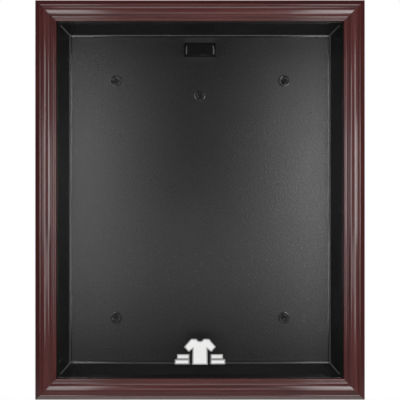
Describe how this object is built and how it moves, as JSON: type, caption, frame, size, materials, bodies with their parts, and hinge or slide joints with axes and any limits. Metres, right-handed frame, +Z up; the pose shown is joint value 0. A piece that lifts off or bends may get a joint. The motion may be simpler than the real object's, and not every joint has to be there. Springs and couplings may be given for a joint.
{
  "type": "jersey display frame",
  "caption": "Hinged wall display case for a jersey: a moulded black tray with a rod hook, behind a mahogany-toned wooden frame with a clear front that swings open to the left.",
  "frame": {"origin": "centre of the four wall-screw holes, on the wall plane", "axes": "+X to the right, +Y into the wall, +Z up; the front faces -Y"},
  "size_m": [0.88, 0.089, 1.067],
  "materials": {
    "tray_plastic": "black moulded plastic, pebbled on the back panel",
    "frame_wood": "dark red-brown mahogany stain under satin lacquer",
    "clear_acrylic": "clear polished sheet",
    "white_print": "white screen print",
    "hinge_steel": "zinc-plated steel",
    "fastener_steel": "zinc-plated steel"
  },
  "bodies": {
    "tray": {"back_tray": "tray_plastic", "rod_hook": "tray_plastic", "rod_hook_screws": "fastener_steel", "tray_hinge_leaf_1": "hinge_steel", "tray_hinge_leaf_2": "hinge_steel", "tray_hinge_leaf_3": "hinge_steel", "tray_hinge_leaf_4": "hinge_steel", "hinge_pin_1": "hinge_steel", "hinge_pin_2": "hinge_steel", "hinge_pin_3": "hinge_steel", "hinge_pin_4": "hinge_steel", "tray_hinge_screws": "fastener_steel"},
    "door": {"top_rail": "frame_wood", "bottom_rail": "frame_wood", "left_stile": "frame_wood", "right_stile": "frame_wood", "corner_v_nails": "fastener_steel", "front_acrylic": "clear_acrylic", "glazing_points": "fastener_steel", "front_emblem": "white_print", "frame_hinge_leaf_1": "hinge_steel", "frame_hinge_leaf_2": "hinge_steel", "frame_hinge_leaf_3": "hinge_steel", "frame_hinge_leaf_4": "hinge_steel", "frame_hinge_screws": "fastener_steel", "turn_button_screws": "fastener_steel", "turn_button_spacers": "fastener_steel"},
    "upper_button": {"turn_button_upper": "hinge_steel"},
    "lower_button": {"turn_button_lower": "hinge_steel"}
  },
  "joints": [
    {"name": "door_hinge", "type": "hinge", "parent": "tray", "child": "door", "pos_m": [-0.4033, -0.0627, 0], "axis": [0, 0, -1], "range_deg": [0, 100]},
    {"name": "upper_button_turn", "type": "hinge", "parent": "door", "child": "upper_button", "pos_m": [0.418, -0.0599, 0.3], "axis": [0, 1, 0], "range_deg": [0, 90]},
    {"name": "lower_button_turn", "type": "hinge", "parent": "door", "child": "lower_button", "pos_m": [0.418, -0.0599, -0.3], "axis": [0, 1, 0], "range_deg": [0, 90]}
  ]
}
